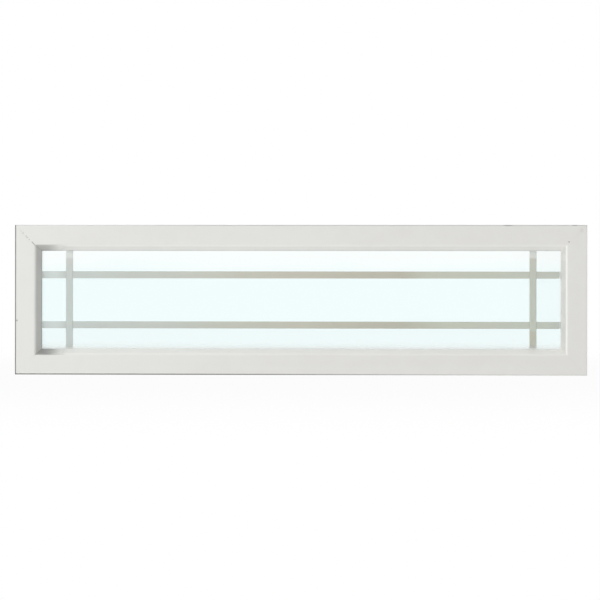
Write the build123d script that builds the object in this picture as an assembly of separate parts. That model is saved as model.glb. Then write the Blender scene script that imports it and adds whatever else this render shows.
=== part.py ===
"""Fixed picture window: a welded white PVC frame round a sealed double-glazed unit with a
flat metal grille between its panes.

Millimetres. X runs along the window, +Y points into the room, +Z is up. The origin is under
the middle of the sill, at half the frame's depth. Left and right are as seen from outdoors.
Sections are drawn as (depth, inset): depth is Y, and inset is the distance in from the
frame's outer edge.
"""

import os

from build123d import *

# Frame, outside sizes
FRAME_WIDTH = 1308.1
FRAME_HEIGHT = 342.9
FRAME_DEPTH = 82.6
FRONT = -FRAME_DEPTH / 2
BACK = FRAME_DEPTH / 2
OUTER_RADIUS = 1.5
WALL = 2.2
WEB = 1.2

# Glazing leg: flat face, rounded corner, slope down to the sightline
SIGHTLINE = 58.8
FACE_CORNER = 47.3
FACE_CORNER_RADIUS = 8.0
LEG_TIP_DEPTH = -21.3
LEG_BACK_DEPTH = -19.8
LEG_TIP_RADIUS = 0.6

# Glazing pocket, and the return on its room side
POCKET_FLOOR = 43.5
RETURN_DEPTH = 18.5
RETURN_INSET = 46.0
RETURN_RADIUS = 3.0

# Undercut groove in the pocket floor for the bead's foot
SNAP_DEPTH = 11.5
SNAP_MOUTH = 3.4
SNAP_WIDTH = 4.6
SNAP_LIP = 2.0
SNAP_DROP = 5.0

# T grooves round the perimeter for trim and fins
TRIM_DEPTHS = (-12.0, 10.0)
TRIM_MOUTH = 4.2
TRIM_WIDTH = 6.4
TRIM_LIP = 1.4
TRIM_DROP = 5.0

# Webs that part the hollow: three stand up from the perimeter, one lies along the depth
UPRIGHT_WEBS = (LEG_BACK_DEPTH - WALL + WEB / 2, 1.0, RETURN_DEPTH + WALL - WEB / 2)
LEVEL_WEB = 25.0

# Weld line cleaned out along each mitre
WELD_WIDTH = 2.4
WELD_SINK = 0.3

# Screw holes through both jambs, near the room face
SCREW_HOLE_RADIUS = 2.5
SCREW_HOLE_DEPTH = 30.0
SCREW_HOLE_SPACING = 150.0

# Drain slots of the sill: pocket into hollow, then hollow down and out
DRAIN_LENGTH = 25.0
POCKET_DRAIN_WIDTH = 5.0
POCKET_DRAIN_DEPTH = -10.0
POCKET_DRAINS_X = (-480.0, 480.0)
OUTLET_WIDTH = 4.0
OUTLET_DEPTH = -3.2
OUTLETS_X = (-420.0, 420.0)

# Sealed glass unit, from the outdoor side inwards
TAPE_THICKNESS = 1.5
GLASS_THICKNESS = 3.2
AIRSPACE = 12.7
OUTER_PANE_FRONT = LEG_BACK_DEPTH + TAPE_THICKNESS
AIR_FRONT = OUTER_PANE_FRONT + GLASS_THICKNESS
AIR_BACK = AIR_FRONT + AIRSPACE
AIR_MIDDLE = (AIR_FRONT + AIR_BACK) / 2
INNER_PANE_BACK = AIR_BACK + GLASS_THICKNESS
GLASS_INSET = 46.2
GLASS_SEAM = 0.5

# Hollow spacer with shoulders, its corner keys, and the seal behind it
SPACER_BACK = 50.1
SPACER_HEIGHT = 6.5
SPACER_FACE = SPACER_BACK + SPACER_HEIGHT
SPACER_WALL = 0.4
SPACER_SHOULDER = 2.0
SEAL_BACK = 46.6
KEY_LEG = 24.0
KEY_LEG_WIDTH = 7.0
KEY_LEG_HEIGHT = 4.2
KEY_CLEARANCE = 0.1
KEY_FIN = 0.8
KEY_FINS = 4

# Grille between the panes: flat tubes, halved where they cross, with a clip at each end
BAR_WIDTH = 15.9
BAR_THICKNESS = 5.5
BAR_WALL = 0.5
BAR_RADIUS = 1.2
UPRIGHT_BAR_OFFSET = 532.5
LEVEL_BAR_OFFSET = 57.5
LAP_CLEARANCE = 0.1
CLIP_FLANGE = 4.5
CLIP_PLUG = 14.0
CLIP_PLUG_ROOT = 2.0
CLIP_CLEARANCE = 0.1
CLIP_PRONG = 4.0
PEG_SIDE = 2.4
PEG_LENGTH = 2.8
PEG_POINT = 0.8
PEG_SPACING = 9.0
PEG_HOLE_SIDE = 2.6

# Snap-in glazing bead
GASKET_THICKNESS = 1.5
BEAD_FRONT = INNER_PANE_BACK + GASKET_THICKNESS
BEAD_SIGHTLINE = 56.9
BEAD_TIP_LAND = 2.2
BEAD_FRONT_RADIUS = 0.6
BEAD_TIP_RADIUS = 1.0
BEAD_SHOULDER = 49.0
BEAD_SHOULDER_RADIUS = 3.0
BEAD_WALL = 1.4
BEAD_MITRE_TRIM = 0.2
FOOT_PLAY = 0.4
FOOT_THICKNESS = 2.0
FOOT_DROP = 4.2
FOOT_BARB = 1.4

# Bead gasket and glazing tape
GASKET_INSET = 49.0
GASKET_WIDTH = 7.2
GASKET_STRIP = 0.8
GASKET_RIBS = 3
GASKET_RIB = 2.0
GASKET_RIB_TIP = 1.0
TAPE_INSET = 49.6
TAPE_WIDTH = 8.6

# Setting blocks under the glass, channelled so that water passes below
BLOCK_LENGTH = 100.0
BLOCK_OFFSET = 303.0
BLOCK_CHANNEL_WIDTH = 8.0
BLOCK_CHANNEL_HEIGHT = 1.5


def profile(*corners):
    """Closed section through (depth, inset) corners; a third value rounds the corner."""
    points = [corner[:2] for corner in corners]
    radii = [corner[2] if len(corner) == 3 else 0 for corner in corners]
    return make_face(FilletPolyline(*points, radius=radii, close=True))


def oblong(low_depth, high_depth, low_inset, high_inset):
    """Plain rectangle in a section."""
    middle = Pos((low_depth + high_depth) / 2, (low_inset + high_inset) / 2)
    return middle * Rectangle(high_depth - low_depth, high_inset - low_inset)


def slit(middle_depth, width, low_inset, high_inset):
    """Rectangle in a section, centred on a depth."""
    return oblong(middle_depth - width / 2, middle_depth + width / 2, low_inset, high_inset)


def hollowed(outline, wall):
    """What is left inside an outline by a wall of even thickness."""
    return offset(outline, -wall, kind=Kind.INTERSECTION)


def square_cut(section, length):
    """Run of a section along X, centred, cut square at both ends."""
    return extrude(Plane.YZ * section, length / 2, both=True)


def mitred(section, length, trim=0.0):
    """Run of a section along X, mitred at 45 degrees; the length is at inset zero, and trim
    is taken off both ends."""
    half = length / 2 - trim
    reach = 2 * SPACER_FACE
    sides = Polyline((-half, 0), (half, 0), (half - reach, reach), (reach - half, reach), close=True)
    between_mitres = extrude(Plane.XZ * make_face(sides), FRAME_DEPTH, both=True)
    return square_cut(section, length) & between_mitres


def four_sides(long_run, short_run):
    """Runs placed along the bottom, top, left and right, their insets turned inwards."""
    half_height = FRAME_HEIGHT / 2
    return {
        "bottom": long_run,
        "top": Pos(0, 0, FRAME_HEIGHT) * Rot(0, 180, 0) * long_run,
        "left": Pos(-FRAME_WIDTH / 2, 0, half_height) * Rot(0, 90, 0) * short_run,
        "right": Pos(FRAME_WIDTH / 2, 0, half_height) * Rot(0, -90, 0) * short_run,
    }


def mitred_strips(name, section, trim=0.0):
    """One mitred strip along each side, named after it."""
    sides = four_sides(mitred(section, FRAME_WIDTH, trim), mitred(section, FRAME_HEIGHT, trim))
    return {f"{name}_{side}": strip for side, strip in sides.items()}


def snap_groove():
    """Undercut groove in the pocket floor."""
    bottom = POCKET_FLOOR - SNAP_DROP
    mouth = slit(SNAP_DEPTH, SNAP_MOUTH, bottom, POCKET_FLOOR)
    return mouth + slit(SNAP_DEPTH, SNAP_WIDTH, bottom, POCKET_FLOOR - SNAP_LIP)


def trim_groove(depth):
    """T groove in the perimeter."""
    mouth = slit(depth, TRIM_MOUTH, 0, TRIM_DROP)
    return mouth + slit(depth, TRIM_WIDTH, TRIM_LIP, TRIM_DROP)


def frame_section():
    """Multi-chamber extrusion with the glazing leg, the pocket and the room return."""
    outline = profile(
        (FRONT, 0, OUTER_RADIUS),
        (FRONT, FACE_CORNER, FACE_CORNER_RADIUS),
        (LEG_TIP_DEPTH, SIGHTLINE, LEG_TIP_RADIUS),
        (LEG_BACK_DEPTH, SIGHTLINE, LEG_TIP_RADIUS),
        (LEG_BACK_DEPTH, POCKET_FLOOR),
        (RETURN_DEPTH, POCKET_FLOOR),
        (RETURN_DEPTH, RETURN_INSET),
        (BACK, RETURN_INSET, RETURN_RADIUS),
        (BACK, 0, OUTER_RADIUS),
    )
    outline -= snap_groove()
    for depth in TRIM_DEPTHS:
        outline -= trim_groove(depth)
    chambers = hollowed(outline, WALL)
    for depth in UPRIGHT_WEBS:
        chambers -= slit(depth, WEB, 0, SIGHTLINE)
    chambers -= oblong(FRONT, BACK, LEVEL_WEB - WEB / 2, LEVEL_WEB + WEB / 2)
    return outline - chambers


def weld_grooves(length):
    """V grooves where the welds are cleaned off the front and back faces of both mitres."""
    grooves = []
    for end in (-1, 1):
        across = Plane((end * length / 2, 0, 0), x_dir=(0, 1, 0), z_dir=(-end, 0, 1))
        for face, inwards in ((FRONT, 1), (BACK, -1)):
            root = face + inwards * WELD_SINK
            clear = face - inwards * WELD_SINK
            vee = Polyline((root, 0), (clear, WELD_WIDTH), (clear, -WELD_WIDTH), close=True)
            grooves.append(extrude(across * make_face(vee), 2 * RETURN_INSET))
    return grooves


def frame_run(length):
    """Mitred frame member with its weld lines."""
    member = mitred(frame_section(), length)
    for groove in weld_grooves(length):
        member -= groove
    return member


def drilled(jamb_run):
    """Screw holes through a jamb, from the room return out to the perimeter."""
    for along in (-SCREW_HOLE_SPACING / 2, SCREW_HOLE_SPACING / 2):
        jamb_run -= Pos(along, SCREW_HOLE_DEPTH, 0) * Cylinder(SCREW_HOLE_RADIUS, 2 * SIGHTLINE)
    return jamb_run


def drained(sill_run):
    """Slots that let water out of the pocket and down through the sill."""
    for x in POCKET_DRAINS_X:
        slot = SlotOverall(DRAIN_LENGTH, POCKET_DRAIN_WIDTH)
        sill_run -= extrude(Pos(x, POCKET_DRAIN_DEPTH, LEVEL_WEB - WEB) * slot, POCKET_FLOOR)
    for x in OUTLETS_X:
        slot = SlotOverall(DRAIN_LENGTH, OUTLET_WIDTH)
        sill_run -= extrude(Pos(x, OUTLET_DEPTH, -WALL) * slot, 3 * WALL)
    return sill_run


def frame_pieces():
    """Sill, head and two jambs."""
    sides = four_sides(frame_run(FRAME_WIDTH), drilled(frame_run(FRAME_HEIGHT)))
    return {
        "frame_sill": drained(sides["bottom"]),
        "frame_head": sides["top"],
        "frame_jamb_left": sides["left"],
        "frame_jamb_right": sides["right"],
    }


def bead_section():
    """Hollow bead, sloped towards the room, with a barbed foot for the snap groove."""
    body = profile(
        (BEAD_FRONT, POCKET_FLOOR),
        (BEAD_FRONT, BEAD_SIGHTLINE, BEAD_FRONT_RADIUS),
        (BEAD_FRONT + BEAD_TIP_LAND, BEAD_SIGHTLINE, BEAD_TIP_RADIUS),
        (RETURN_DEPTH, BEAD_SHOULDER, BEAD_SHOULDER_RADIUS),
        (RETURN_DEPTH, POCKET_FLOOR),
    )
    front = SNAP_DEPTH - SNAP_MOUTH / 2 + FOOT_PLAY
    back = front + FOOT_THICKNESS
    end = POCKET_FLOOR - FOOT_DROP
    foot = profile(
        (front, POCKET_FLOOR + BEAD_WALL),
        (front, end),
        (back, end),
        (back + FOOT_BARB, end + FOOT_BARB),
        (back, end + FOOT_BARB),
        (back, POCKET_FLOOR + BEAD_WALL),
    )
    return body - hollowed(body, BEAD_WALL) + foot


def gasket_section():
    """Soft strip on the bead, with ribs that press on the glass."""
    high_edge = GASKET_INSET + GASKET_WIDTH
    section = oblong(BEAD_FRONT - GASKET_STRIP, BEAD_FRONT, GASKET_INSET, high_edge)
    pitch = (GASKET_WIDTH - GASKET_RIB) / (GASKET_RIBS - 1)
    for rib in range(GASKET_RIBS):
        middle = GASKET_INSET + GASKET_RIB / 2 + rib * pitch
        section += profile(
            (BEAD_FRONT, middle - GASKET_RIB / 2),
            (BEAD_FRONT, middle + GASKET_RIB / 2),
            (BEAD_FRONT - GASKET_STRIP, middle + GASKET_RIB / 2),
            (INNER_PANE_BACK, middle + GASKET_RIB_TIP / 2),
            (INNER_PANE_BACK, middle - GASKET_RIB_TIP / 2),
            (BEAD_FRONT - GASKET_STRIP, middle - GASKET_RIB / 2),
        )
    return section


def seal_section():
    """Sealant that fills the edge of the unit, up over the spacer's shoulders."""
    shoulder = SPACER_BACK + SPACER_SHOULDER
    return profile(
        (AIR_FRONT, SEAL_BACK),
        (AIR_BACK, SEAL_BACK),
        (AIR_BACK, shoulder),
        (AIR_BACK - SPACER_SHOULDER, SPACER_BACK),
        (AIR_FRONT + SPACER_SHOULDER, SPACER_BACK),
        (AIR_FRONT, shoulder),
    )


def strip_pieces():
    """Everything that runs round the window as four mitred strips."""
    tape = oblong(LEG_BACK_DEPTH, OUTER_PANE_FRONT, TAPE_INSET, TAPE_INSET + TAPE_WIDTH)
    return {
        **mitred_strips("glazing_tape", tape),
        **mitred_strips("edge_seal", seal_section()),
        **mitred_strips("bead_gasket", gasket_section()),
        **mitred_strips("glazing_bead", bead_section(), BEAD_MITRE_TRIM),
    }


def pane(front):
    """Sheet of glass with seamed edges."""
    sheet = Box(FRAME_WIDTH - 2 * GLASS_INSET, GLASS_THICKNESS, FRAME_HEIGHT - 2 * GLASS_INSET)
    long_edges = sheet.edges().filter_by(Axis.Y, reverse=True)
    return Pos(0, front + GLASS_THICKNESS / 2, FRAME_HEIGHT / 2) * chamfer(long_edges, GLASS_SEAM)


def setting_block(x):
    """Rubber block that carries the glass on the sill."""
    section = oblong(OUTER_PANE_FRONT, INNER_PANE_BACK, POCKET_FLOOR, GLASS_INSET)
    channel_top = POCKET_FLOOR + BLOCK_CHANNEL_HEIGHT
    section -= slit(AIR_MIDDLE, BLOCK_CHANNEL_WIDTH, POCKET_FLOOR, channel_top)
    return Pos(x, 0, 0) * square_cut(section, BLOCK_LENGTH)


def glass_pieces():
    """Two panes and the blocks they stand on."""
    return {
        "exterior_pane": pane(OUTER_PANE_FRONT),
        "interior_pane": pane(AIR_BACK),
        "setting_block_left": setting_block(-BLOCK_OFFSET),
        "setting_block_right": setting_block(BLOCK_OFFSET),
    }


def spacer_outline():
    """Outside of the spacer: flat towards the air, with shoulders towards the seal."""
    shoulder = SPACER_BACK + SPACER_SHOULDER
    return profile(
        (AIR_FRONT, SPACER_FACE),
        (AIR_BACK, SPACER_FACE),
        (AIR_BACK, shoulder),
        (AIR_BACK - SPACER_SHOULDER, SPACER_BACK),
        (AIR_FRONT + SPACER_SHOULDER, SPACER_BACK),
        (AIR_FRONT, shoulder),
    )


def spacer_run(side_length, bar_offset):
    """Hollow spacer bar with two punched holes for each grille bar that ends on it."""
    outline = spacer_outline()
    run = square_cut(outline - hollowed(outline, SPACER_WALL), side_length - 2 * SPACER_FACE)
    hole = Box(PEG_HOLE_SIDE, PEG_HOLE_SIDE, SPACER_HEIGHT)
    for bar in (-bar_offset, bar_offset):
        for peg in (-PEG_SPACING / 2, PEG_SPACING / 2):
            run -= Pos(bar + peg, AIR_MIDDLE, SPACER_FACE) * hole
    return run


def corner_key():
    """Key of the bottom left corner: a block in line with the spacer, and two finned legs."""
    outline = spacer_outline()
    fin_section = hollowed(outline, SPACER_WALL + KEY_CLEARANCE)
    leg_section = Pos(AIR_MIDDLE, SPACER_FACE - SPACER_HEIGHT / 2) * Rectangle(
        KEY_LEG_WIDTH, KEY_LEG_HEIGHT
    )
    from_edge = Pos(-FRAME_WIDTH / 2, 0, 0)
    diagonal = Plane((-FRAME_WIDTH / 2, 0, 0), z_dir=(1, 0, -1))
    run = from_edge * extrude(Plane.YZ * outline, SPACER_FACE)
    key = run & mirror(run, about=diagonal)
    leg = from_edge * Pos(SPACER_FACE, 0, 0) * extrude(Plane.YZ * leg_section, KEY_LEG)
    for fin in range(1, KEY_FINS + 1):
        along = SPACER_FACE + fin * KEY_LEG / KEY_FINS - KEY_FIN
        leg += from_edge * Pos(along, 0, 0) * extrude(Plane.YZ * fin_section, KEY_FIN)
    return key + leg + mirror(leg, about=diagonal)


def spacer_pieces():
    """Four spacer bars and the key in each corner."""
    sides = four_sides(
        spacer_run(FRAME_WIDTH, UPRIGHT_BAR_OFFSET), spacer_run(FRAME_HEIGHT, LEVEL_BAR_OFFSET)
    )
    bars = {f"spacer_bar_{side}": bar for side, bar in sides.items()}
    lower = {"left": corner_key()}
    lower["right"] = mirror(lower["left"], about=Plane.YZ)
    keys = {}
    for side, key in lower.items():
        keys[f"corner_key_bottom_{side}"] = key
        keys[f"corner_key_top_{side}"] = Pos(0, 0, FRAME_HEIGHT) * mirror(key, about=Plane.XY)
    return {**bars, **keys}


def bar_outline():
    """Outside of the flat tube."""
    return RectangleRounded(BAR_THICKNESS, BAR_WIDTH, BAR_RADIUS)


def bar_inside(clearance):
    """Inside of the flat tube, or what fits in it with a clearance."""
    shrink = 2 * (BAR_WALL + clearance)
    return Rectangle(BAR_THICKNESS - shrink, BAR_WIDTH - shrink)


def grille_bar(span, lap_offset, lap_side):
    """Roll-formed tube, cut half through on one side where it crosses the other bars."""
    tube = square_cut(bar_outline() - bar_inside(0), span - 2 * CLIP_FLANGE)
    for lap in (-lap_offset, lap_offset):
        notch = Box(BAR_WIDTH + 2 * LAP_CLEARANCE, BAR_THICKNESS, 2 * BAR_WIDTH)
        tube -= Pos(lap, lap_side * BAR_THICKNESS / 2, 0) * notch
    return tube


def grille_clip(span):
    """Clip at a bar's +X end: flange on the spacer, two prongs in the tube, two pegs."""
    clip = extrude(Plane.YZ * bar_outline(), -CLIP_FLANGE)
    clip += extrude(Plane.YZ * bar_inside(CLIP_CLEARANCE), -CLIP_FLANGE - CLIP_PLUG)
    between_prongs = BAR_WIDTH - 2 * (BAR_WALL + CLIP_CLEARANCE + CLIP_PRONG)
    between = Box(CLIP_PLUG, BAR_WIDTH, between_prongs)
    clip -= Pos(-CLIP_FLANGE - CLIP_PLUG_ROOT - CLIP_PLUG / 2, 0, 0) * between
    peg = Pos(PEG_LENGTH / 2, 0, 0) * Box(PEG_LENGTH, PEG_SIDE, PEG_SIDE)
    peg = chamfer(peg.faces().sort_by(Axis.X)[-1].edges(), PEG_POINT)
    for along in (-PEG_SPACING / 2, PEG_SPACING / 2):
        clip += Pos(0, 0, along) * peg
    return Pos(span / 2, 0, 0) * clip


def grille_pieces():
    """Two level bars lapped behind two upright bars, with a clip at every end."""
    level_span = FRAME_WIDTH - 2 * SPACER_FACE
    upright_span = FRAME_HEIGHT - 2 * SPACER_FACE
    half_height = FRAME_HEIGHT / 2
    standing = Rot(0, -90, 0)
    pieces = {}
    for name, side in (("lower", -1), ("upper", 1)):
        place = Pos(0, AIR_MIDDLE, half_height + side * LEVEL_BAR_OFFSET)
        clip = grille_clip(level_span)
        pieces[f"grille_bar_{name}"] = place * grille_bar(level_span, UPRIGHT_BAR_OFFSET, -1)
        pieces[f"grille_clip_{name}_right"] = place * clip
        pieces[f"grille_clip_{name}_left"] = place * mirror(clip, about=Plane.YZ)
    for name, side in (("left", -1), ("right", 1)):
        place = Pos(side * UPRIGHT_BAR_OFFSET, AIR_MIDDLE, half_height) * standing
        clip = grille_clip(upright_span)
        pieces[f"grille_bar_{name}"] = place * grille_bar(upright_span, LEVEL_BAR_OFFSET, 1)
        pieces[f"grille_clip_{name}_top"] = place * clip
        pieces[f"grille_clip_{name}_bottom"] = place * mirror(clip, about=Plane.YZ)
    return pieces


pieces = {
    **frame_pieces(),
    **glass_pieces(),
    **spacer_pieces(),
    **grille_pieces(),
    **strip_pieces(),
}
os.makedirs("parts", exist_ok=True)
for node, solid in pieces.items():
    export_step(solid, f"parts/{node}.step")
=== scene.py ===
"""Looks of the fixed picture window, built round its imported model. Metres, +Z up, the outdoor
face towards -Y. Paints and plastics have their colours in sRGB, 0 to 255, through srgb(). What
the glass lets through, the floor and the light are linear shares, 0 to 1.
"""

import math
import random

import bmesh
import bpy
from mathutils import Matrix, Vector


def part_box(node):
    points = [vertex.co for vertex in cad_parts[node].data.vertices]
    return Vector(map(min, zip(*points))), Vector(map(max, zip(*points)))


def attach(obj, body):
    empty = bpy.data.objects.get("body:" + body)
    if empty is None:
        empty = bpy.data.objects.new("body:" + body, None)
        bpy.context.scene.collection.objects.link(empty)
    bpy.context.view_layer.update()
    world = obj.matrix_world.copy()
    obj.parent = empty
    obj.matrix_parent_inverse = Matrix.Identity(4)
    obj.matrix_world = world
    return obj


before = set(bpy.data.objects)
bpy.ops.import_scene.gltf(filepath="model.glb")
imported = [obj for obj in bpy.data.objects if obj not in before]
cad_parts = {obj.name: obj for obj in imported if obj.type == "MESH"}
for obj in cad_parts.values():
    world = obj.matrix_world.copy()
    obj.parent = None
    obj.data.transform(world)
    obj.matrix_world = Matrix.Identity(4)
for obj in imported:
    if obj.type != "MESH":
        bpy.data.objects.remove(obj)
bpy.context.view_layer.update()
bpy.ops.object.select_all(action="DESELECT")


# Frame: sill, head and two jambs of white PVC, extruded with hollow chambers, mitred and welded.
# The skin is satin, with faint drawing lines along each member, a slow change of tone, painted
# darker towards the right as shade, a few marks from handling, painted shade along the outer
# edges and in the two left corners, and a painted highlight on the right jamb's rounding.
class Shade:
    """A socket in a shader tree: arithmetic on it adds Math nodes, node() adds any other."""

    def __init__(self, tree, socket=None):
        self.tree = tree
        self.socket = socket

    def node(self, kind, settings=None, sockets=None, output=0):
        """Add a node, set it, set or link its sockets, and give one of its outputs."""
        made = self.tree.nodes.new("ShaderNode" + kind)
        for name, value in (settings or {}).items():
            if name == "stops":
                while len(made.color_ramp.elements) < len(value):
                    made.color_ramp.elements.new(1.0)
                for element, (position, colour) in zip(made.color_ramp.elements, value):
                    element.position, element.color = position, colour
            else:
                setattr(made, name, value)
        for name, value in (sockets or {}).items():
            if isinstance(value, Shade):
                self.tree.links.new(value.socket, made.inputs[name])
            else:
                made.inputs[name].default_value = value
        return Shade(self.tree, made.outputs[output] if made.outputs else None)

    def math(self, operation, *values):
        return self.node("Math", {"operation": operation}, dict(enumerate(values)))

    def __add__(self, other):
        return self.math("ADD", self, other)

    def __sub__(self, other):
        return self.math("SUBTRACT", self, other)

    def __rsub__(self, other):
        return self.math("SUBTRACT", other, self)

    def __mul__(self, other):
        return self.math("MULTIPLY", self, other)

    def __pow__(self, other):
        return self.math("POWER", self, other)

    def __rpow__(self, other):
        return self.math("POWER", other, self)

    def __abs__(self):
        return self.math("ABSOLUTE", self)

    __radd__ = __add__
    __rmul__ = __mul__


def srgb(red, green, blue):
    """Linear colour of an sRGB triple, 0 to 255."""
    return tuple(
        share / 12.92 if share <= 0.04045 else ((share + 0.055) / 1.055) ** 2.4
        for share in (red / 255, green / 255, blue / 255)
    ) + (1.0,)


def new_material(name):
    """Empty material, and the tree to build its shader in."""
    made = bpy.data.materials.new(name)
    made.use_nodes = True
    made.node_tree.nodes.clear()
    return made, Shade(made.node_tree)


def output(tree, shader):
    """Make a shader the surface of its material."""
    tree.node("OutputMaterial", None, {"Surface": shader})


def principled(tree, colour, roughness, height, distance, strength=0.5, fixed=None):
    """Make the surface a Principled shader with a bump; fixed holds its constant sockets."""
    bump = {"Strength": strength, "Distance": distance, "Height": height}
    sockets = {
        "Base Color": colour,
        "Roughness": roughness,
        "Normal": tree.node("Bump", None, bump),
    }
    output(tree, tree.node("BsdfPrincipled", None, {**sockets, **(fixed or {})}))


def blended(factor, low, high):
    """Colour between two colours, which are sockets 6 and 7 of a Mix node."""
    colours = {"Factor": factor, 6: low, 7: high}
    return factor.node("Mix", {"data_type": "RGBA"}, colours, output=2)


def between(factor, low, high):
    """Number between two numbers."""
    return low + (high - low) * factor


def eased(value, low, high):
    """0 below low and 1 above high, smooth between."""
    limits = {"Value": value, "From Min": low, "From Max": high}
    return value.node("MapRange", {"interpolation_type": "SMOOTHSTEP"}, limits)


def band(value, rise, fall):
    """1 from a rise to a fall, each given as where it starts and where it ends."""
    return eased(value, *rise) - eased(value, *fall)


def largest(*values):
    """Largest of some numbers."""
    most = values[0]
    for value in values[1:]:
        most = most.math("MAXIMUM", most, value)
    return most


def surface_point(tree):
    """Object coordinates."""
    return tree.node("TexCoord", output="Object")


def coordinates(tree):
    """Object coordinates as three numbers."""
    point = surface_point(tree)
    return [tree.node("SeparateXYZ", None, {0: point}, output=axis) for axis in "XYZ"]


def noise(tree, cells, detail=2.0):
    """Noise from 0 to 1, with so many cells in a metre, or three counts for X, Y and Z."""
    scale = cells if isinstance(cells, tuple) else (cells, cells, cells)
    point = tree.node("Mapping", None, {"Vector": surface_point(tree), "Scale": scale})
    sockets = {"Vector": point, "Scale": 1.0, "Detail": detail}
    return tree.node("TexNoise", None, sockets, output="Fac")


def drawn_lines(tree, across, count, along, detail=2.0):
    """Lines along a bar, so many to a metre; across is 0 along it and 1 on the other axes."""
    return noise(tree, tuple(along + count * axis for axis in across), detail)


def mark(tree, middle, reach, core=0.2):
    """1 in the core of an oval mark, fading to 0 at its reach along X, Y and Z."""
    away = surface_point(tree)
    away = tree.node("VectorMath", {"operation": "SUBTRACT"}, {0: away, 1: middle})
    away = tree.node("VectorMath", {"operation": "DIVIDE"}, {0: away, 1: reach})
    away = tree.node("VectorMath", {"operation": "LENGTH"}, {0: away}, output="Value")
    return 1 - eased(away, core, 1.0)


def dress(material, *nodes):
    """Give carried-over nodes a material."""
    for node in nodes:
        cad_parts[node].material_slots[0].material = material


window_low, window_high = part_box("frame_sill")[0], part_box("frame_head")[1]
HALF_WIDTH = window_high.x
HEIGHT = window_high.z
FRONT = window_low.y
BACK = window_high.y
ACROSS_LEVEL = (0, 1, 1)
ACROSS_UPRIGHT = (1, 1, 0)

PVC_WHITE = srgb(240, 240, 236)
PVC_WARM = srgb(236, 235, 231)
PVC_GLOSS = {"IOR": 1.54, "Coat Weight": 0.5, "Coat Roughness": 0.15}
TONE_CELLS = (2.1, 6.0, 4.3)
TONE_RANGE = (0.25, 0.75)
CLOUD_CELLS = (23.0, 31.0, 27.0)
CLOUD_SHARE = 0.4
RIGHTWARD_SHADE_PER_METRE = 0.25
DRAWING_LINES = 420.0
LINE_RELIEF = 0.7
PVC_GRAIN = 1700.0

# Roughness of the clean skin, and what its clouds, its drawing lines and the painted shade add to
# it.
SATIN, CLOUDED, LINED, SHADE_ROUGHENED = 0.19, 0.06, 0.03, 0.3

# Marks from handling: each one's share, its middle, and its reach along X, Y and Z.
MARK_GREY = srgb(150, 150, 146)
MARKS = [
    (1.0, (-0.6494, FRONT, 0.1240), (0.0024, 0.01, 0.0030)),
    (0.8, (0.6126, FRONT, 0.3043), (0.0026, 0.01, 0.0026)),
    (1.0, (0.5634, FRONT + 0.02, 0.2836), (0.0080, 0.01, 0.0018)),
    (0.9, (0.4743, FRONT, HEIGHT), (0.0170, 0.003, 0.0038)),
    (0.8, (0.6260, FRONT, HEIGHT), (0.0110, 0.003, 0.0034)),
    (0.12, (0.6415, FRONT, 0.3310), (0.0060, 0.003, 0.0080)),
]

# Flecks along the mitre at the top left, and the darker split at its inner end: runs from the
# left edge, reaches off the mitre, and depths behind the face.
FLECK_CELLS = 310.0
FLECK_CUT = (0.52, 0.62)
FLECK_RUN = ((0.007, 0.011), (0.032, 0.036))
FLECK_REACH = (0.0008, 0.0040)
FLECK_DEPTH = (0.0006, 0.0020)
FLECK_SHARE = 0.5
SPLIT_RUN = ((0.038, 0.039), (0.045, 0.046))
SPLIT_REACH = (0.0008, 0.0026)
SPLIT_DEPTH = (0.003, 0.005)
SPLIT_SHARE = 0.6

# The sloped reveal, from the face back to the tape, and what is painted on it: a shadow in each
# left corner, shade on the jambs and along the head's tip, and a highlight along the right jamb's
# rounding. A pair of shares is for low and high, or for left and right.
# Grey of the painted shade.
PAINTED_SHADE_GREY = srgb(106, 106, 102)
OUTER_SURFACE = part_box("exterior_pane")[0].y
TAPE_THICKNESS = 0.0015
LEG_BACK = OUTER_SURFACE - TAPE_THICKNESS - FRONT
REVEAL_START = (0.0001, 0.0008)
REVEAL_END = (LEG_BACK - 0.0005, LEG_BACK + 0.0005)
REVEAL_INSET = (0.0420, 0.0430)
MITRE_EDGE = (-0.0003, 0.0003)
LOW_TO_HIGH = (0.1, 0.2)
LEFT_TO_RIGHT = (0.0, 0.1)
STREAK_CELLS = (60.0, 90.0, 420.0)
STREAK_STRAY = 0.02
CORNER_SHADOW_REACH = (0.066, 0.123)
CORNER_SHADOW_SHARES = (0.78, 0.55)
JAMB_SHADE_SHARES = (0.07, 0.12)
TIP_LINE = (0.0565, 0.0573)
HEAD_ONLY = (0.20, 0.25)
TIP_SHADE_SHARE = 0.25
HIGHLIGHT_WHITE = srgb(247, 248, 243)
HIGHLIGHT_LINE = ((0.0440, 0.0452), (0.0474, 0.0488))

# Painted shade: a dark line along the outer edges, full at the left, fading towards the right
# along the bottom, and faint along the top.
EDGE_SHADE_LINE = (0.0020, 0.0030)
EDGE_SHADE_DEPTH = (0.0016, 0.0032)
BOTTOM_FADE = (-0.35, 0.60)
BOTTOM_SHARES = (1.0, 0.15)
TOP_RISE = (-0.50, -0.10)
TOP_SHARES = (0.12, 0.32)


def seam_dirt(tree, x, z, depth):
    """Share of mark grey along the mitre at the top left."""
    from_left = x + HALF_WIDTH
    off_mitre = abs(x + z + (HALF_WIDTH - HEIGHT))
    flecks = eased(noise(tree, FLECK_CELLS, detail=1.0), *FLECK_CUT)
    flecks = flecks * band(from_left, *FLECK_RUN) * (1 - eased(off_mitre, *FLECK_REACH))
    flecks = flecks * (1 - eased(depth, *FLECK_DEPTH))
    split = band(from_left, *SPLIT_RUN) * (1 - eased(off_mitre, *SPLIT_REACH))
    split = split * (1 - eased(depth, *SPLIT_DEPTH))
    return flecks * FLECK_SHARE + split * SPLIT_SHARE


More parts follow.
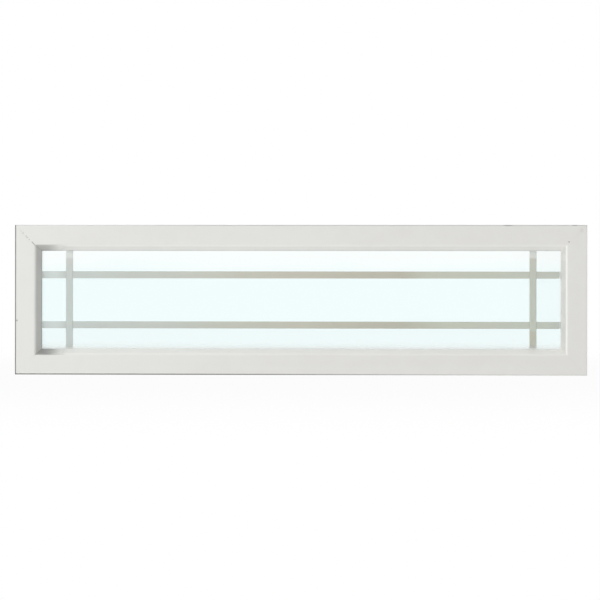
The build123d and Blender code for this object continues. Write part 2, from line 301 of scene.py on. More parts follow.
def reveal_painted_light(tree, x, z, depth):
    """Shares of painted highlight and of painted shade on the reveal."""
    inset = HEIGHT / 2 - abs(z - HEIGHT / 2)
    from_side = HALF_WIDTH - abs(x)
    on_reveal = band(depth, REVEAL_START, REVEAL_END) * eased(inset, *REVEAL_INSET)
    past_mitre = eased(from_side - inset, *MITRE_EDGE)
    level = on_reveal * past_mitre
    upright = on_reveal * (1 - past_mitre)
    right = eased(x, *LEFT_TO_RIGHT)

    streaks = noise(tree, STREAK_CELLS)
    from_left = x + HALF_WIDTH + (streaks - 0.5) * STREAK_STRAY
    # Painted shadow: the reveal darkens towards the two left corners, more at the bottom one.
    corner = level * (1 - eased(from_left, *CORNER_SHADOW_REACH))
    corner = corner * between(eased(z, *LOW_TO_HIGH), *CORNER_SHADOW_SHARES)
    # Painted highlight: a paler line along the right jamb's rounding.
    painted_highlight = upright * band(from_side, *HIGHLIGHT_LINE) * right
    # Painted shade on both jamb reveals, a little more on the right one.
    film = upright * eased(from_side, *REVEAL_INSET) * (1 - painted_highlight)
    film = film * between(right, *JAMB_SHADE_SHARES)
    # Painted shade along the tip of the head's reveal.
    tip = level * eased(inset, *TIP_LINE) * eased(z, *HEAD_ONLY) * TIP_SHADE_SHARE
    return painted_highlight, corner + film + tip


def painted_edge_shade(x, z, depth):
    """Share of painted shade along the window's outer edges."""
    left = 1 - eased(x + HALF_WIDTH, *EDGE_SHADE_LINE)
    bottom = 1 - eased(z, *EDGE_SHADE_LINE)
    bottom = bottom * between(eased(x, *BOTTOM_FADE), *BOTTOM_SHARES)
    top = 1 - eased(HEIGHT - z, *EDGE_SHADE_LINE)
    top = top * between(eased(x, *TOP_RISE), *TOP_SHARES)
    return largest(left, bottom, top) * (1 - eased(depth, *EDGE_SHADE_DEPTH))


def white_pvc(name, across):
    """PVC skin of a member, with its drawing lines along it."""
    made, tree = new_material(name)
    x, y, z = coordinates(tree)
    depth = y - FRONT
    cloud = noise(tree, CLOUD_CELLS)
    tone = noise(tree, TONE_CELLS, detail=3.0) * (1 - CLOUD_SHARE) + cloud * CLOUD_SHARE
    # Painted shade: the tone shifts to the darker, warmer white towards the right.
    tone = tone + x * RIGHTWARD_SHADE_PER_METRE
    colour = blended(eased(tone, *TONE_RANGE), PVC_WHITE, PVC_WARM)
    marks = sum(share * mark(tree, middle, reach) for share, middle, reach in MARKS)
    colour = blended(marks + seam_dirt(tree, x, z, depth), colour, MARK_GREY)
    painted_highlight, painted_shade = reveal_painted_light(tree, x, z, depth)
    painted_shade = painted_shade + painted_edge_shade(x, z, depth)
    # The painted highlight, then the painted shade, go over the skin's own colour.
    colour = blended(painted_shade, blended(painted_highlight, colour, HIGHLIGHT_WHITE), PAINTED_SHADE_GREY)
    lines = drawn_lines(tree, across, DRAWING_LINES, along=0.6, detail=1.0)
    grain = noise(tree, PVC_GRAIN, detail=1.0)
    roughness = SATIN + cloud * CLOUDED + lines * LINED + painted_shade * SHADE_ROUGHENED
    relief = lines * LINE_RELIEF + grain * (1 - LINE_RELIEF)
    principled(tree, colour, roughness, relief, distance=0.0003, strength=0.05, fixed=PVC_GLOSS)
    return made


level_pvc = white_pvc("white_pvc_level", ACROSS_LEVEL)
upright_pvc = white_pvc("white_pvc_upright", ACROSS_UPRIGHT)
dress(level_pvc, "frame_sill", "frame_head")
dress(upright_pvc, "frame_jamb_left", "frame_jamb_right")


# Weld seams: the plastic squeezed out as each mitre was welded. A cutter has shaved it down, so
# what is left is a slim rough ridge in the bottom of the cleaned groove, on both faces of all
# four corners, and a few crumbs of flash beside the seam at the top left.
SEAM_START, SEAM_END = 0.0018, 0.0425
SEAM_WIDTH = 0.0009
SEAM_RISE = 0.00016
SEAM_CLEAR = 0.00010
SEAM_SUNK = 0.0003
SEAM_STEPS = 26
SEAM_HEIGHTS = (0.55, 1.1)
SEAM_WIDTHS = (0.6, 1.15)
SEAM_LAST = 0.35
SEAM_SOFTENED = 0.00005
ALIGNED = 0.9
chance = random.Random(11)


def start_edit():
    """Edit mode on the active piece, with nothing selected."""
    bpy.ops.object.mode_set(mode="EDIT")
    bpy.ops.mesh.select_mode(type="FACE")
    bpy.ops.mesh.select_all(action="DESELECT")


def end_edit():
    """Back to object mode."""
    bpy.ops.object.mode_set(mode="OBJECT")


def pick(direction):
    """Select only the faces of the edited piece that look in a direction."""
    bpy.ops.mesh.select_all(action="DESELECT")
    mesh = bmesh.from_edit_mesh(bpy.context.object.data)
    for face in mesh.faces:
        face.select_set(face.normal.dot(Vector(direction)) > ALIGNED)
    mesh.select_flush_mode()
    bmesh.update_edit_mesh(bpy.context.object.data)


def apply_modifiers(piece):
    """Apply every modifier of the active piece, in order."""
    for modifier in [each.name for each in piece.modifiers]:
        bpy.ops.object.modifier_apply(modifier=modifier)


def settle(piece):
    """Select the piece alone, make it active and put its place into its mesh."""
    bpy.ops.object.select_all(action="DESELECT")
    piece.select_set(True)
    bpy.context.view_layer.objects.active = piece
    bpy.ops.object.transform_apply(location=True, rotation=True, scale=True)


def copied(piece, name, place=(0, 0, 0), turn=(0, 0, 0)):
    """Copy of a piece with a mesh of its own, turned and then placed."""
    made = piece.copy()
    made.data = piece.data.copy()
    made.name = made.data.name = name
    bpy.context.collection.objects.link(made)
    made.location, made.rotation_euler = place, turn
    settle(made)
    return made


def finish_piece(piece, name, material):
    """Name a new piece, give it its material and slot, and let it ride on the window."""
    piece.name = piece.data.name = name
    piece.data.materials.clear()
    piece.data.materials.append(material)
    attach(piece, "root")


seam_step = (SEAM_END - SEAM_START) * math.sqrt(2) / SEAM_STEPS
bpy.ops.mesh.primitive_cube_add(
    size=1,
    location=(SEAM_START * math.sqrt(2) + seam_step / 2, -SEAM_CLEAR - SEAM_RISE / 2, 0),
    scale=(seam_step, SEAM_RISE, SEAM_WIDTH),
)
ridge = bpy.context.object
settle(ridge)
start_edit()
pick((1, 0, 0))
tall, wide = 1.0, 1.0
for step in range(SEAM_STEPS - 1):
    fade = SEAM_LAST if step == SEAM_STEPS - 2 else 1.0
    new_tall = fade * chance.uniform(*SEAM_HEIGHTS)
    new_wide = fade * chance.uniform(*SEAM_WIDTHS)
    bpy.ops.mesh.extrude_region_move(TRANSFORM_OT_translate={"value": (seam_step, 0, 0)})
    bpy.ops.transform.resize(value=(1, new_tall / tall, new_wide / wide))
    tall, wide = new_tall, new_wide
end_edit()
bevel = ridge.modifiers.new("softened", "BEVEL")
bevel.width = SEAM_SOFTENED
bevel.segments = 1
apply_modifiers(ridge)
bpy.ops.object.shade_smooth_by_angle(angle=math.radians(50))
for face, depth, flip in (
    ("front", FRONT + SEAM_SUNK, 0),
    ("back", BACK - SEAM_SUNK, math.pi),
):
    for corner, x, z, turn in (
        ("bottom_left", -HALF_WIDTH, 0, -45),
        ("bottom_right", HALF_WIDTH, 0, -135),
        ("top_right", HALF_WIDTH, HEIGHT, 135),
        ("top_left", -HALF_WIDTH, HEIGHT, 45),
    ):
        name = f"weld_seam_{face}_{corner}"
        seam = copied(ridge, name, (x, depth, z), (flip, math.radians(turn), 0))
        finish_piece(seam, name, upright_pvc)
bpy.data.objects.remove(ridge)

# Crumbs: the full size of one, and each one's place in from the left edge and down from the
# top, with its share of the full size.
CRUMB = (0.0019, 0.0008, 0.0013)
CRUMB_FLATTENED = 0.22
CRUMB_ROUGHNESS = 0.00012
CRUMBS = [
    (0.0126, 0.0081, 0.8),
    (0.0190, 0.0148, 1.0),
    (0.0220, 0.0209, 1.2),
    (0.0277, 0.0168, 0.9),
    (0.0279, 0.0257, 1.0),
    (0.0329, 0.0310, 0.7),
]
crumbs = []
for inwards, down, share in CRUMBS:
    place = (inwards - HALF_WIDTH, FRONT, HEIGHT - down)
    bpy.ops.mesh.primitive_cube_add(size=1, location=place, scale=[share * side for side in CRUMB])
    settle(bpy.context.object)
    start_edit()
    bpy.ops.mesh.select_all(action="SELECT")
    bpy.ops.mesh.subdivide(number_cuts=2, smoothness=0.8)
    bpy.ops.transform.vertex_random(offset=CRUMB_ROUGHNESS, seed=chance.randrange(1000))
    bpy.ops.transform.resize(value=(1, CRUMB_FLATTENED, 1), center_override=place)
    end_edit()
    bpy.ops.object.shade_smooth()
    crumbs.append(bpy.context.object)
for crumb in crumbs:
    crumb.select_set(True)
bpy.ops.object.join()
settle(bpy.context.object)
finish_piece(bpy.context.object, "weld_flash_front_top_left", upright_pvc)


# Setting blocks: two rubber blocks on the pocket floor that carry the glass. Moulded black
# rubber, dull, with a fine grain and a bloom of chalk.
RUBBER_BLACK = srgb(44, 44, 45)
CHALK_BLOOM = srgb(70, 70, 70)
BLOOM_CELLS = 90.0
BLOOM_RANGE = (0.4, 0.7)
RUBBER_GRAIN = 2200.0
RUBBER_ROUGHNESS = (0.72, 0.87)

made, tree = new_material("block_rubber_moulded")
bloom = noise(tree, BLOOM_CELLS, detail=3.0)
grain = noise(tree, RUBBER_GRAIN, detail=1.0)
colour = blended(eased(bloom, *BLOOM_RANGE), RUBBER_BLACK, CHALK_BLOOM)
principled(tree, colour, between(bloom, *RUBBER_ROUGHNESS), grain, distance=0.0002)
dress(made, "setting_block_left", "setting_block_right")


# Glazing tape: closed-cell foam with adhesive on both sides, stuck to the back of the glazing
# leg. The outer pane is pressed on to it. Pale grey, with open cells on its cut edges.
SIDES = ("bottom", "top", "left", "right")
FOAM_CELL = srgb(184, 184, 181)
FOAM_WALL = srgb(208, 208, 205)
FOAM_AGED = srgb(196, 194, 188)
FOAM_CELLS = 1500.0
FOAM_CELL_RANGE = (0.1, 0.6)
FOAM_TONES = 60.0
FOAM_AGED_RANGE = (0.35, 0.7)
FOAM_AGED_SHARE = 0.4
FOAM_ROUGHNESS = (0.82, 0.92)


def pitted(tree, cells):
    """Distance from the middle of the nearest pit."""
    sockets = {"Vector": surface_point(tree), "Scale": cells}
    return tree.node("TexVoronoi", None, sockets, output="Distance")


made, tree = new_material("foam_tape_closed_cell")
cells = pitted(tree, FOAM_CELLS)
tone = noise(tree, FOAM_TONES)
colour = blended(eased(cells, *FOAM_CELL_RANGE), FOAM_CELL, FOAM_WALL)
colour = blended(eased(tone, *FOAM_AGED_RANGE) * FOAM_AGED_SHARE, colour, FOAM_AGED)
roughness = between(tone, *FOAM_ROUGHNESS)
principled(tree, colour, roughness, cells, distance=0.0003, strength=0.6)
dress(made, *[f"glazing_tape_{side}" for side in SIDES])


# Panes: two sheets of float glass, sealed into one unit and pressed on to the tape by the
# beads. The faint cyan cast of a coating fades towards the head, and the mirror skin grows
# towards grazing light. A grey film thickens towards the foot, with a faint haze low down and
# at the right.
PLAIN_WHITE = (1.0, 1.0, 1.0, 1.0)
GLASS_CLEAR = (0.988, 1.0, 0.998, 1.0)
GLASS_CAST = (0.968, 0.996, 0.996, 1.0)
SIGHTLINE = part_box("frame_jamb_left")[1].x + HALF_WIDTH
CAST_FADE = (HEIGHT - SIGHTLINE - 0.075, HEIGHT - SIGHTLINE)
CAST_STRAY = 0.08
DRIFT_CELLS = (3.1, 3.0, 9.0)
MIRRORED_HEAD_ON = 0.04
MIRROR_GROWTH = 5.0
SMEAR_CELLS = (9.0, 9.0, 21.0)
SMEAR_RANGE = (0.4, 0.9)
SMEAR_ROUGHNESS = 0.08
SMEAR_CORE = (0.62, 0.9)
SMEAR_SHARE = 0.03
WEATHER_SIDE = (OUTER_SURFACE + 0.0004, OUTER_SURFACE + 0.0012)
FOOT_FILM_GREY = srgb(232, 232, 229)
FOOT_FILM_HALVED_IN = 0.0036
FOOT_FILM_SHARES = (0.5, 0.9)
HAZE_TOP = (0.095, 0.125)
HAZE_TOP_STRAY = 0.05
HAZE_SIDE = (0.45, 0.60)
HAZE_SIDE_STRAY = 0.1
HAZE_SHARE = 0.08


def mixed(factor, first, second):
    """Shader between two shaders."""
    return factor.node("MixShader", None, {"Fac": factor, 1: first, 2: second})


made, tree = new_material("clear_glass_coated")
x, y, z = coordinates(tree)
facing = tree.node("LayerWeight", None, {"Blend": 0.5}, output="Facing")
mirrored = between(facing ** MIRROR_GROWTH, MIRRORED_HEAD_ON, 1.0)
drift = noise(tree, DRIFT_CELLS)
stray = drift - 0.5
smears = noise(tree, SMEAR_CELLS, detail=3.0)
gloss = {"Color": PLAIN_WHITE, "Roughness": eased(smears, *SMEAR_RANGE) * SMEAR_ROUGHNESS}
mirror = tree.node("BsdfGlossy", None, gloss)
clear = tree.node("BsdfTransparent", None, {"Color": GLASS_CLEAR})
cast = tree.node("BsdfTransparent", None, {"Color": GLASS_CAST})
grey_film = tree.node("BsdfDiffuse", None, {"Color": FOOT_FILM_GREY})
coated = 1 - eased(z + stray * CAST_STRAY, *CAST_FADE)
sheet = mixed(mirrored, mixed(coated, clear, cast), mirror)
halvings = (z - SIGHTLINE) * (1 / FOOT_FILM_HALVED_IN)
toward_foot = 0.5 ** halvings * between(drift, *FOOT_FILM_SHARES)
low_haze = 1 - eased(z + stray * HAZE_TOP_STRAY, *HAZE_TOP)
side_haze = eased(x + stray * HAZE_SIDE_STRAY, *HAZE_SIDE)
film = toward_foot + largest(low_haze, side_haze) * HAZE_SHARE
film = (film + eased(smears, *SMEAR_CORE) * SMEAR_SHARE) * (1 - eased(y, *WEATHER_SIDE))
output(tree, mixed(film, sheet, grey_film))
dress(made, "exterior_pane", "interior_pane")


# Spacer: a roll-formed bar of bright mill aluminium along each side, which holds the panes
# apart. Its face towards the air has two rows of punched breathing holes, whose rims stand up,
# and its ends are pushed on to grey nylon corner keys.
ALUMINIUM_DULL = srgb(214, 215, 216)
ALUMINIUM_BRIGHT = srgb(226, 227, 228)
ALUMINIUM_TONES = 14.0
ALUMINIUM_RANGE = (0.3, 0.7)
ROLLING_LINES = 2600.0
MILL_BRIGHT, MILL_LINED, MILL_CLOUDED = 0.26, 0.16, 0.06
HOLE_SHADE = srgb(70, 68, 64)
DESICCANT_TAN = srgb(110, 106, 98)
DESICCANT_CELLS = 4000.0
DESICCANT_RANGE = (0.4, 0.6)
DESICCANT_ROUGHNESS = (0.8, 0.9)
PERFORATION_PITCH = 0.006
PERFORATION_RADIUS = 0.00045
PERFORATION_RISE = 0.00006
PERFORATION_MARGIN = 0.008
RIM_SHARE = 0.3
HOLE_DEPTH_SHARE = 0.8
ROW_APART = 0.0074
KEY_GREY = srgb(172, 174, 175)
KEY_PALE = srgb(184, 186, 187)
KEY_FLOW = (180.0, 60.0, 180.0)
KEY_GRAIN = 2400.0
KEY_ROUGHNESS = (0.42, 0.54)
NYLON_IOR = 1.53
EVEN_PATCHES = (0.35, 0.65)


def mill_aluminium(name, across):
    """Bright rolled metal, with its rolling lines along the bar."""
    made, tree = new_material(name)
    lines = drawn_lines(tree, across, ROLLING_LINES, along=4.0)
    tone = noise(tree, ALUMINIUM_TONES, detail=3.0)
    colour = blended(eased(tone, *ALUMINIUM_RANGE), ALUMINIUM_DULL, ALUMINIUM_BRIGHT)
    roughness = MILL_BRIGHT + lines * MILL_LINED + tone * MILL_CLOUDED
    metal = {"Metallic": 1.0}
    principled(tree, colour, roughness, lines, distance=0.0001, strength=0.25, fixed=metal)
    return made


def repeat(piece, name, step, count):
    """Array modifier that repeats a piece at a fixed step."""
    array = piece.modifiers.new(name, "ARRAY")
    array.use_relative_offset = False
    array.use_constant_offset = True
    array.constant_offset_displace = step
    array.count = count


level_aluminium = mill_aluminium("spacer_aluminium_level", ACROSS_LEVEL)
upright_aluminium = mill_aluminium("spacer_aluminium_upright", ACROSS_UPRIGHT)
dress(level_aluminium, "spacer_bar_bottom", "spacer_bar_top")
dress(upright_aluminium, "spacer_bar_left", "spacer_bar_right")

# Painted shade: each hole is a shallow cup whose floor is painted dark, for the depth of the tube
# behind it, flecked with the desiccant's tan.
hole_shade, tree = new_material("spacer_hole_shade")
desiccant = noise(tree, DESICCANT_CELLS, detail=1.0)
colour = blended(eased(desiccant, *DESICCANT_RANGE), HOLE_SHADE, DESICCANT_TAN)
roughness = between(desiccant, *DESICCANT_ROUGHNESS)
principled(tree, colour, roughness, desiccant, distance=0.0001)

bpy.ops.mesh.primitive_cylinder_add(
    vertices=8,
    radius=PERFORATION_RADIUS,
    depth=PERFORATION_RISE,
    location=(PERFORATION_MARGIN, -ROW_APART / 2, PERFORATION_RISE / 2),
)
rim = bpy.context.object
settle(rim)
rim.data.materials.append(level_aluminium)
rim.data.materials.append(hole_shade)
start_edit()
pick((0, 0, -1))
bpy.ops.mesh.delete(type="FACE")
pick((0, 0, 1))
bpy.ops.mesh.inset(thickness=PERFORATION_RADIUS * RIM_SHARE, depth=0)
bpy.ops.mesh.extrude_region_move(
    TRANSFORM_OT_translate={"value": (0, 0, -PERFORATION_RISE * HOLE_DEPTH_SHARE)}
)
rim.active_material_index = 1
bpy.ops.object.material_slot_assign()
end_edit()
run_low, run_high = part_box("spacer_bar_bottom")
side_low, side_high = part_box("spacer_bar_left")
middle_depth = (run_low.y + run_high.y) / 2
level_run = (run_high.x - run_low.x, level_aluminium)
upright_run = (side_high.z - side_low.z, upright_aluminium)
for side, x, z, turn, (length, metal) in (
    ("bottom", run_low.x, run_high.z, 0, level_run),
    ("top", run_high.x, HEIGHT - run_high.z, 180, level_run),
    ("left", side_high.x, side_high.z, 90, upright_run),
    ("right", -side_high.x, side_low.z, -90, upright_run),
):
    rows = copied(rim, f"spacer_perforations_{side}")
    count = int((length - 2 * PERFORATION_MARGIN) / PERFORATION_PITCH) + 1
    repeat(rows, "along", (PERFORATION_PITCH, 0, 0), count)
    repeat(rows, "beside", (PERFORATION_PITCH / 2, ROW_APART, 0), 2)
    apply_modifiers(rows)
    rows.location = (x, middle_depth, z)
    rows.rotation_euler = (0, math.radians(turn), 0)
    settle(rows)
    rows.data.materials[0] = metal
    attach(rows, "root")
bpy.data.objects.remove(rim)

made, tree = new_material("key_nylon_moulded")
flow = noise(tree, KEY_FLOW, detail=3.0)
grain = noise(tree, KEY_GRAIN, detail=1.0)
colour = blended(eased(flow, *EVEN_PATCHES), KEY_GREY, KEY_PALE)
roughness = between(flow, *KEY_ROUGHNESS)
nylon = {"IOR": NYLON_IOR}
principled(tree, colour, roughness, grain, distance=0.0002, strength=0.2, fixed=nylon)
CORNERS = [f"{level}_{side}" for level in ("bottom", "top") for side in ("left", "right")]
dress(made, *[f"corner_key_{corner}" for corner in CORNERS])


# Primary seal: a rope of butyl on each shoulder of the spacer, pressed flat between it and the
# glass. What has squeezed out past the spacer's face is a thin wavy line round each pane.
BUTYL_DARK = srgb(120, 121, 122)
BUTYL_PALE = srgb(134, 135, 135)
BUTYL_TONES = 40.0
BUTYL_PULL = 900.0
BUTYL_ROUGHNESS = (0.38, 0.58)
BUTYL_SQUEEZE = 0.0004
BUTYL_THICK = 0.0005
BUTYL_LONG = 10 * BUTYL_THICK
BUTYL_CUTS = 90
BUTYL_WAVE = 0.00012

made, tree = new_material("butyl_seal")
tone = noise(tree, BUTYL_TONES, detail=3.0)
pull = noise(tree, BUTYL_PULL)
colour = blended(eased(tone, *EVEN_PATCHES), BUTYL_DARK, BUTYL_PALE)
principled(tree, colour, between(tone, *BUTYL_ROUGHNESS), pull, distance=0.0002)
opening_low, opening_high = run_high.z, HEIGHT - run_high.z
for pane, glass_face, outwards in (
    ("exterior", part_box("exterior_pane")[1].y, 1),
    ("interior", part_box("interior_pane")[0].y, -1),
):
    bpy.ops.mesh.primitive_plane_add(
        size=1,
        location=(0, glass_face, (opening_low + opening_high) / 2),
        rotation=(math.pi / 2 * outwards, 0, 0),
    )
    rope = bpy.context.object
    rope.scale = (2 * run_high.x, opening_high - opening_low, 1)
    settle(rope)
    start_edit()
    bpy.ops.mesh.select_all(action="SELECT")
    bpy.ops.mesh.inset(thickness=BUTYL_SQUEEZE, depth=0)
    bpy.ops.mesh.delete(type="FACE")
    bpy.ops.mesh.select_all(action="SELECT")
    bpy.ops.mesh.extrude_region_move(
        TRANSFORM_OT_translate={"value": (0, outwards * BUTYL_THICK, 0)}
    )
    bpy.ops.mesh.select_mode(type="EDGE")
    bpy.ops.mesh.select_all(action="DESELECT")
    mesh = bmesh.from_edit_mesh(rope.data)
    for edge in mesh.edges:
        edge.select_set(edge.calc_length() > BUTYL_LONG)
    bmesh.update_edit_mesh(rope.data)
    bpy.ops.mesh.subdivide(number_cuts=BUTYL_CUTS)
    bpy.ops.mesh.select_all(action="SELECT")
    bpy.ops.transform.vertex_random(offset=BUTYL_WAVE, seed=5)
    bpy.ops.mesh.normals_make_consistent(inside=False)
    end_edit()
    bpy.ops.object.shade_smooth_by_angle(angle=math.radians(60))
    finish_piece(rope, f"butyl_line_{pane}", made)


# Edge seal: two-part sealant gunned into the edge of the unit and struck off flush. Dark grey
# and dull, with small pits.
SEALANT_DARK = srgb(66, 67, 69)
SEALANT_PALE = srgb(84, 84, 86)
SEALANT_PITS = 240.0
PIT_RANGE = (0.0, 0.25)
SEALANT_TONES = 35.0
SEALANT_ROUGHNESS = (0.6, 0.8)

made, tree = new_material("edge_sealant_cured")
pits = eased(pitted(tree, SEALANT_PITS), *PIT_RANGE)
tone = noise(tree, SEALANT_TONES, detail=3.0)
colour = blended(eased(tone, *EVEN_PATCHES), SEALANT_DARK, SEALANT_PALE)
roughness = between(tone, *SEALANT_ROUGHNESS)
principled(tree, colour, roughness, pits, distance=0.0004, strength=0.4)
dress(made, *[f"edge_seal_{side}" for side in SIDES])


# Grille: flat tubes roll-formed from painted strip, halved into each other where they cross.
# A satin nickel lacquer, whose colour goes from grey at the left through khaki to a warm grey
# at the right, with fine rolling lines and a darker foot at the right. Its left or top end is
# painted paler, as light that lifts the shade the frame casts there.
NICKEL = [
    (0.00, srgb(210, 209, 206)),
    (0.24, srgb(209, 205, 196)),
    (0.48, srgb(207, 196, 181)),
    (0.69, srgb(196, 186, 169)),
    (0.76, srgb(204, 199, 183)),
    (1.00, srgb(204, 200, 188)),
]
NICKEL_END = srgb(238, 238, 235)
PALE_CORE = 0.6
NICKEL_LINES = 1900.0
NICKEL_SATIN, NICKEL_LINED, NICKEL_SWUNG = 0.30, 0.12, 0.08
SWING_CELLS = (4.0, 3.0, 16.0)
SWING_STRAY = 0.18
span_low, span_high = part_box("grille_bar_upper")
lower_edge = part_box("grille_bar_lower")[0].z
rise_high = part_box("grille_bar_left")[1]
FEET = (lower_edge - 0.009, lower_edge)
FEET_SHIFT = 0.24


def satin_nickel(name, across, axis, pale_end, pale_length, pale_share):
    """Lacquered strip, one end of which is paler: the end at that place on that axis."""
    made, tree = new_material(name)
    point = coordinates(tree)
    swing = noise(tree, SWING_CELLS)
    place = (point[0] + span_high.x) * (0.5 / span_high.x) + (swing - 0.5) * SWING_STRAY
    place = place - (1 - eased(point[2], *FEET)) * FEET_SHIFT
    colour = tree.node("ValToRGB", {"stops": NICKEL}, {"Fac": place})
    # Painted light: the end nearest the frame is paler, to lift the shade the frame casts on it.
    from_end = abs(point[axis] - pale_end)
    pale = 1 - eased(from_end, pale_length * PALE_CORE, pale_length)
    colour = blended(pale * pale_share, colour, NICKEL_END)
    lines = drawn_lines(tree, across, NICKEL_LINES, along=3.0)
    roughness = NICKEL_SATIN + lines * NICKEL_LINED + swing * NICKEL_SWUNG
    lacquer = {"Metallic": 0.85}
    principled(tree, colour, roughness, lines, distance=0.0001, strength=0.2, fixed=lacquer)
    return made


level_nickel = satin_nickel(
    "satin_nickel_level", ACROSS_LEVEL, 0, span_low.x, pale_length=0.050, pale_share=0.35
)
upright_nickel = satin_nickel(
    "satin_nickel_upright", ACROSS_UPRIGHT, 2, rise_high.z, pale_length=0.018, pale_share=0.60
)
dress(level_nickel, "grille_bar_upper", "grille_bar_lower")
dress(upright_nickel, "grille_bar_left", "grille_bar_right")


# Grille clips: a clip of pale translucent nylon in each end of each bar, pegged into the
# spacer. Injection moulded, a little glossy, with flow marks.
CLIP_WHITE = srgb(252, 253, 252)
CLIP_MILKY = srgb(246, 248, 246)
CLIP_FLOW = (130.0, 60.0, 130.0)
CLIP_GRAIN = 2100.0
CLIP_ROUGHNESS = (0.36, 0.50)

made, tree = new_material("clip_nylon_pale")
flow = noise(tree, CLIP_FLOW, detail=3.0)
grain = noise(tree, CLIP_GRAIN, detail=1.0)
colour = blended(eased(flow, *EVEN_PATCHES), CLIP_WHITE, CLIP_MILKY)
roughness = between(flow, *CLIP_ROUGHNESS)
nylon = {"IOR": NYLON_IOR, "Transmission Weight": 0.7}
principled(tree, colour, roughness, grain, distance=0.0002, strength=0.2, fixed=nylon)
ENDS = [f"{bar}_{end}" for bar in ("upper", "lower") for end in ("left", "right")]
ENDS += [f"{bar}_{end}" for bar in ("left", "right") for end in ("top", "bottom")]
dress(made, *[f"grille_clip_{end}" for end in ENDS])


# Bead gaskets: a soft grey strip co-extruded on each bead, whose ribs press on the inner pane.
# A slightly tacky skin, with soft changes of tone and lint caught on it.
GASKET_GREY = srgb(192, 194, 193)
GASKET_PALE = srgb(200, 201, 199)
GASKET_TONES = 30.0
GASKET_ROUGHNESS = (0.55, 0.70)
LINT_PALE = srgb(222, 221, 216)
LINT_CELLS = 700.0
LINT_CUT = (0.62, 0.75)
LINT_SHARE = 0.5

made, tree = new_material("soft_gasket_grey")
lint = noise(tree, LINT_CELLS, detail=3.0)
tone = noise(tree, GASKET_TONES)
colour = blended(eased(tone, *EVEN_PATCHES), GASKET_GREY, GASKET_PALE)
colour = blended(eased(lint, *LINT_CUT) * LINT_SHARE, colour, LINT_PALE)
roughness = between(tone, *GASKET_ROUGHNESS)
principled(tree, colour, roughness, lint, distance=0.0001, strength=0.3)
dress(made, *[f"bead_gasket_{side}" for side in SIDES])


# Glazing beads: four beads of the same white PVC on the room side, extruded and mitred, and
# snapped into the groove in the pocket floor.
dress(level_pvc, "glazing_bead_bottom", "glazing_bead_top")
dress(upright_pvc, "glazing_bead_left", "glazing_bead_right")


# Floor: the plain, matt, pale floor that the window stands on. It is seen as white, a little
# less so near the window, where it keeps the window's shadow.
FLOOR_GREY = (0.35, 0.35, 0.35, 1.0)
FLOOR_SPAN = 60
FLOOR_DROP = 0.0002
NEAR_TO_FAR = (0.8, 3.0)
WHITE_SHARES = (0.96, 1.0)


def seen_directly(tree):
    """1 for rays from the camera and through or off glass and metal."""
    rays = ("Is Camera Ray", "Is Glossy Ray", "Is Transmission Ray")
    return largest(*[tree.node("LightPath", output=ray) for ray in rays])


floor_material, tree = new_material("studio_floor")
away = tree.node("VectorMath", {"operation": "LENGTH"}, {0: surface_point(tree)}, output="Value")
whiteness = between(eased(away, *NEAR_TO_FAR), *WHITE_SHARES)
matt = tree.node("BsdfDiffuse", None, {"Color": FLOOR_GREY})
white = tree.node("Emission", None, {"Color": PLAIN_WHITE, "Strength": 1.0})
output(tree, mixed(seen_directly(tree) * whiteness, matt, white))
bpy.ops.object.select_all(action="DESELECT")
bpy.ops.mesh.primitive_plane_add(size=FLOOR_SPAN, location=(0, 0, -FLOOR_DROP))
floor = bpy.context.object
floor.name = "floor"
floor.data.materials.append(floor_material)
floor.visible_shadow = False


# Light: an even white surround, soft light from straight above and below, which fills the
# reveals, soft fills in front, most of it from the left, two strips at the left that leave the
# left reveal in shade and brighten the right one, and a fill behind.
AMBIENT = 0.20
world = bpy.data.worlds.new("studio")
bpy.context.scene.world = world
world.use_nodes = True
world.node_tree.nodes.clear()
tree = Shade(world.node_tree)
ambient = tree.node("Background", None, {"Color": PLAIN_WHITE, "Strength": AMBIENT})
white = tree.node("Background", None, {"Color": PLAIN_WHITE, "Strength": 1.0})
surround = mixed(seen_directly(tree), ambient, white)
tree.node("OutputWorld", None, {"Surface": surround})


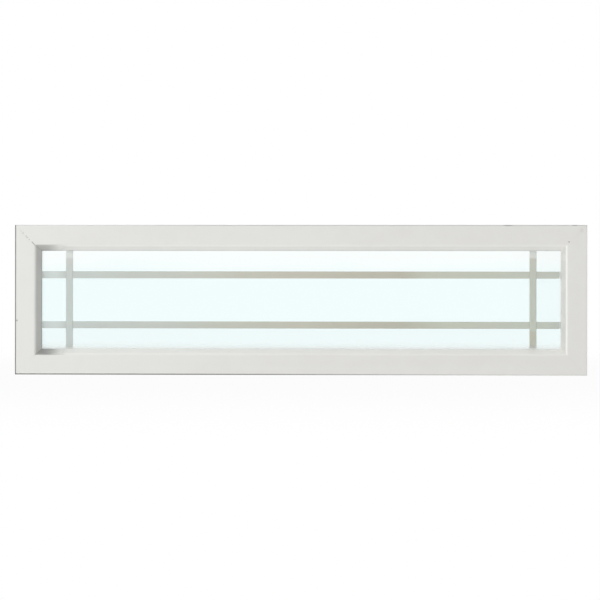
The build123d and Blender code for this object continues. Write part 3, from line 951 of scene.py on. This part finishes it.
def strip(name, place, aim, wide, tall, share):
    """Strip lamp that lights a surface facing it at the aim with that share of plain light."""
    away = Vector(place) - Vector(aim)
    bpy.ops.object.light_add(type="AREA", location=place)
    lamp = bpy.context.object
    lamp.name = name
    lamp.data.shape = "RECTANGLE"
    lamp.data.size, lamp.data.size_y = wide, tall
    lamp.data.energy = share * math.pi ** 2 * away.length_squared
    lamp.rotation_euler = away.to_track_quat("Z", "Y").to_euler()
    lamp.visible_camera = False


def skylight(name, away, spread, share):
    """Distant lamp from one side, so many degrees wide, that shows in no reflection."""
    bpy.ops.object.light_add(type="SUN")
    lamp = bpy.context.object
    lamp.name = name
    lamp.data.angle = math.radians(spread)
    lamp.data.energy = share * math.pi
    lamp.rotation_euler = Vector(away).to_track_quat("Z", "Y").to_euler()
    lamp.visible_camera = False
    lamp.visible_glossy = False


left_end = Vector((-HALF_WIDTH, FRONT, HEIGHT / 2))
right_end = Vector((HALF_WIDTH, FRONT, HEIGHT / 2))
near_left = left_end + Vector((-1.3, -0.22, 0))
strip("near_left", near_left, left_end, wide=0.3, tall=0.8, share=0.16)
strip("far_left", (-3.2, -2.9, HEIGHT / 2), right_end, wide=0.25, tall=2.4, share=0.085)
skylight("above", (0, -0.15, 1), spread=20, share=0.375)
skylight("below", (0, -0.15, -1), spread=20, share=0.385)
skylight("front", (0, -1, 0), spread=50, share=0.155)
skylight("front_left", (-0.6, -1, 0), spread=50, share=0.395)
skylight("behind", (0.25, 1, 0.5), spread=20, share=0.5)


# Camera: outdoors, six metres off, level with the window's middle and a little to its right, so
# that the right end looks slightly taller. Its lens takes in the photo's span at the face.
CAMERA_AWAY = 6.0
CAMERA_YAW = math.radians(2.0)
CAMERA_ROLL = math.radians(0.065)
PHOTO_SPAN = 1.3705
SENSOR_WIDTH = 36

away = Vector((math.sin(CAMERA_YAW), -math.cos(CAMERA_YAW), 0)) * CAMERA_AWAY
place = Vector((0, FRONT, HEIGHT / 2)) + away
bpy.ops.object.camera_add(location=place, rotation=(math.pi / 2, -CAMERA_ROLL, CAMERA_YAW))
camera = bpy.context.object
camera.data.sensor_width = SENSOR_WIDTH
camera.data.lens = SENSOR_WIDTH * CAMERA_AWAY / PHOTO_SPAN
bpy.context.scene.camera = camera
bpy.context.scene.view_settings.view_transform = "Standard"
